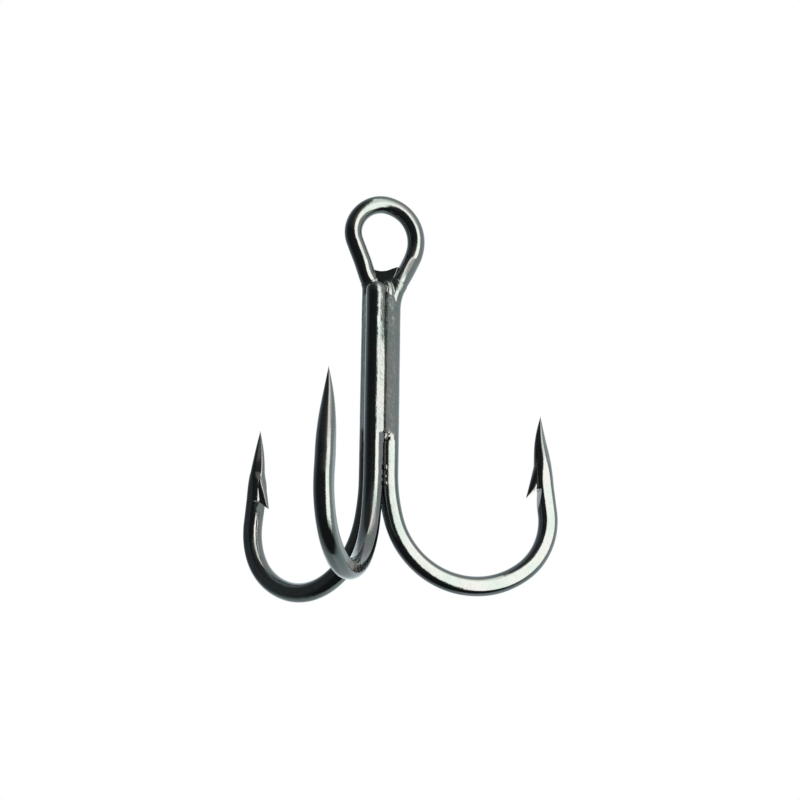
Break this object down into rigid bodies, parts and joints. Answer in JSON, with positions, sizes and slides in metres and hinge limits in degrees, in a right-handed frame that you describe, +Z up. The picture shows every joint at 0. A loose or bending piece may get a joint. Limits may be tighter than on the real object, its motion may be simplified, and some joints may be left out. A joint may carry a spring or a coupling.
{
  "type": "treble hook",
  "caption": "Treble fishing hook: a bent double hook with an eye loop and a single barbed hook brazed to its shank.",
  "frame": {"origin": "centre of the eye's opening, in the middle plane of the eye's wire", "axes": "+Z up the shank from the bends to the eye, -Y the way the single hook points, so the eye's opening runs along Y and its loop lies in the XZ plane"},
  "size_m": [0.0202, 0.0172, 0.0248],
  "materials": {
    "plated_wire": "gloss",
    "plated_braze": "satin",
    "braze_metal": "satin"
  },
  "bodies": {
    "root": {"double_hook_wire": "plated_wire", "single_hook_wire": "plated_wire", "braze_neck": "plated_braze", "braze_front_right": "plated_braze", "braze_front_left": "plated_braze", "braze_back": "plated_braze", "braze_core": "braze_metal", "solder_drops": "plated_braze"}
  },
  "joints": []
}
